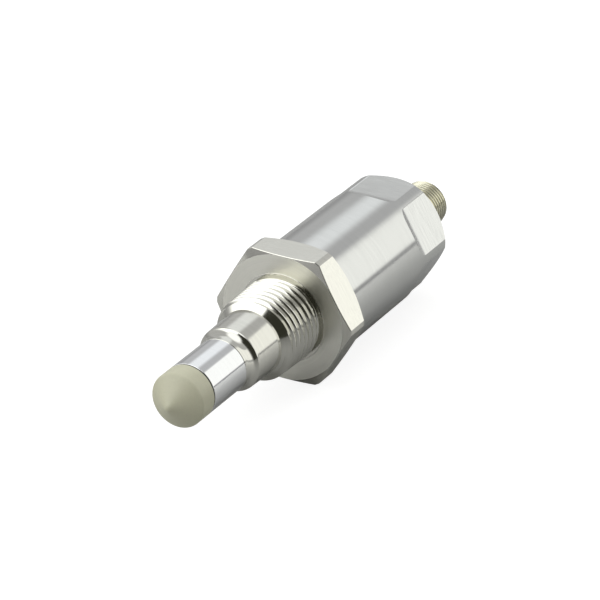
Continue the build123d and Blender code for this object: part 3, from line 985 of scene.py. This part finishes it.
class SENSOR_OT_studio(bpy.types.Operator):
    """Camera, pale floor, and a room with soft light panels"""
    bl_idname = "sensor.studio"
    bl_label = "Studio"

    def execute(self, context):
        settings = context.scene.sensor.studio
        self.camera(context, settings)
        self.floor(settings)
        self.room(context)
        context.scene.view_settings.view_transform = "Standard"
        return {"FINISHED"}

    def camera(self, context, settings):
        """Camera at the chosen direction and distance."""
        right, up, back = camera_axes(settings.azimuth, settings.elevation)
        data = bpy.data.cameras.new("camera")
        data.lens, data.sensor_width = settings.lens, SENSOR_WIDTH
        data.clip_start, data.clip_end = 0.01, 20
        place = right * settings.shift_right + up * settings.shift_up + back * settings.distance
        turn = Matrix((right, up, back)).transposed().to_4x4()
        thing = placed("camera", data)
        thing.matrix_world = Matrix.Translation(place) @ turn
        context.scene.camera = thing

    def floor(self, settings):
        """Floor under the sensor: pale to the camera, a grey sheet to everything else."""
        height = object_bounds()[0].z
        mesh = bpy.data.meshes.new("floor")
        middle, size = settings.middle, settings.floor
        corners = [(middle[0] + along * size[0] / 2, middle[1] + across * size[1] / 2, height)
                   for along, across in ((-1, -1), (1, -1), (1, 1), (-1, 1))]
        mesh.from_pydata(corners, [], [(0, 1, 2, 3)])
        paint = bpy.data.materials.new("floor")
        tree = emptied(paint)
        camera = node(tree, "ShaderNodeLightPath").outputs["Is Camera Ray"]
        sheet = node(tree, "ShaderNodeBsdfPrincipled", {
            "Base Color": SHEET, "Roughness": SHEET_ROUGHNESS, "IOR": 1.5})
        matt = node(tree, "ShaderNodeBsdfDiffuse", {"Color": PALE})
        glow = node(tree, "ShaderNodeEmission", {"Strength": PALE_GLOW})
        bright = node(tree, "ShaderNodeAddShader", {0: matt.outputs[0], 1: glow.outputs[0]})
        both = node(tree, "ShaderNodeMixShader",
                    {0: camera, 1: sheet.outputs[0], 2: bright.outputs[0]})
        node(tree, "ShaderNodeOutputMaterial", {"Surface": both.outputs[0]})
        mesh.materials.append(paint)
        placed("floor", mesh)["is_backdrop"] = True

    def room(self, context):
        """World that is white to the camera, and a grey room with panels to everything else."""
        world = bpy.data.worlds.new("room")
        context.scene.world = world
        tree = emptied(world)
        way = node(tree, "ShaderNodeSeparateXYZ",
                   {0: node(tree, "ShaderNodeTexCoord").outputs["Generated"]}).outputs
        turn = maths(tree, "DEGREES", maths(tree, "ARCTAN2", way[1], way[0]))
        lift = maths(tree, "DEGREES", maths(tree, "ARCSINE", way[2]))
        wall = node(tree, "ShaderNodeMapRange", {
            "Value": lift, "From Min": 0.0, "From Max": HEAD_LIFT,
            "To Min": WALL_FOOT, "To Max": WALL_HEAD}).outputs[0]
        colour = node(tree, "ShaderNodeCombineColor", {0: wall, 1: wall, 2: wall}).outputs[0]
        for azimuths, elevations, glow, edge in PANELS:
            colour = softbox(tree, (turn, lift), colour, azimuths, elevations, glow, edge)
        camera = node(tree, "ShaderNodeLightPath").outputs["Is Camera Ray"]
        shine = node(tree, "ShaderNodeBackground", {
            "Color": mixed(tree, camera, colour, (1, 1, 1, 1))})
        node(tree, "ShaderNodeOutputWorld", {"Surface": shine.outputs[0]})


class SENSOR_PT_pieces(bpy.types.Panel):
    """Sidebar panel that lists the sensor's pieces"""
    bl_idname = "SENSOR_PT_pieces"
    bl_label = "Level Sensor"
    bl_space_type = "VIEW_3D"
    bl_region_type = "UI"
    bl_category = "Sensor"

    def draw(self, context):
        settings = context.scene.sensor
        for operator, group in STEPS:
            self.layout.operator(operator.bl_idname)
            if group:
                box = self.layout.box()
                for label in getattr(settings, group).bl_rna.properties.keys():
                    if label not in ("rna_type", "name"):
                        box.prop(getattr(settings, group), label)


STEPS = (
    (SENSOR_OT_inner, ""),
    (SENSOR_OT_tip, "tip"),
    (SENSOR_OT_tube, ""),
    (SENSOR_OT_fitting, "fitting"),
    (SENSOR_OT_housing, "housing"),
    (SENSOR_OT_plug, "plug"),
    (SENSOR_OT_studio, "studio"),
)
CLASSES = (
    SensorTipSizes, SensorFittingSizes, SensorHousingSizes, SensorPlugSizes, SensorStudioSettings,
    SensorSettings, *(operator for operator, group in STEPS), SENSOR_PT_pieces,
)


def register():
    for item in CLASSES:
        bpy.utils.register_class(item)
    bpy.types.Scene.sensor = PointerProperty(type=SensorSettings)


def unregister():
    del bpy.types.Scene.sensor
    for item in reversed(CLASSES):
        bpy.utils.unregister_class(item)


def main():
    register()
    for operator, _ in STEPS:
        group, name = operator.bl_idname.split(".")
        getattr(getattr(bpy.ops, group), name)()


if __name__ == "__main__":
    main()
